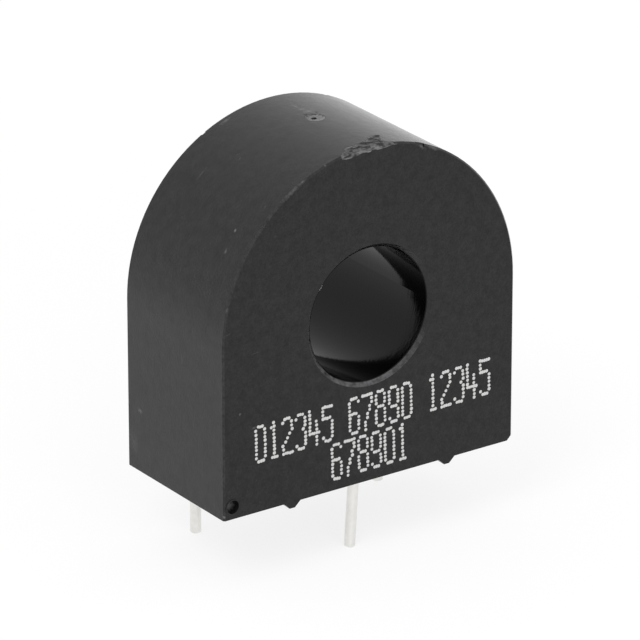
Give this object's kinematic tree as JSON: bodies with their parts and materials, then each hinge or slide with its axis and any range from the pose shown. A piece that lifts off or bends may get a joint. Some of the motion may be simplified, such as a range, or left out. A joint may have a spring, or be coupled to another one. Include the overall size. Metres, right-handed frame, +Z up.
{
  "type": "current transformer",
  "caption": "Small current transformer for a circuit board: black arched housing with a round window through it, a ring coil cast inside, low feet and tinned pins.",
  "frame": {"origin": "under the middle of the housing, level with the tips of the pins it stands on", "axes": "+X to the right along the printed front face, +Y along the window from the front face to the back, +Z up from the board"},
  "size_m": [0.025, 0.012, 0.0311],
  "materials": {
    "housing_plastic": "fine moulded texture",
    "epoxy": "as cast",
    "tinned_wire": "satin tin",
    "polyester_tape": "glossy film",
    "enamelled_copper": "enamelled",
    "core_box": "moulded",
    "foam": "soft",
    "core_strip": "wound strip",
    "sleeving": "extruded",
    "solder": "as cooled",
    "print_ink": "sprayed dots"
  },
  "bodies": {
    "root": {"housing": "housing_plastic", "potting": "epoxy", "pin_left": "tinned_wire", "pin_right": "tinned_wire", "pin_front": "tinned_wire", "winding_tape": "polyester_tape", "winding": "enamelled_copper", "core_cup": "core_box", "core_lid": "core_box", "core_pad": "foam", "core": "core_strip", "lead_left": "enamelled_copper", "lead_right": "enamelled_copper", "sleeve_left": "sleeving", "sleeve_right": "sleeving", "solder_left": "solder", "solder_right": "solder"}
  },
  "joints": []
}
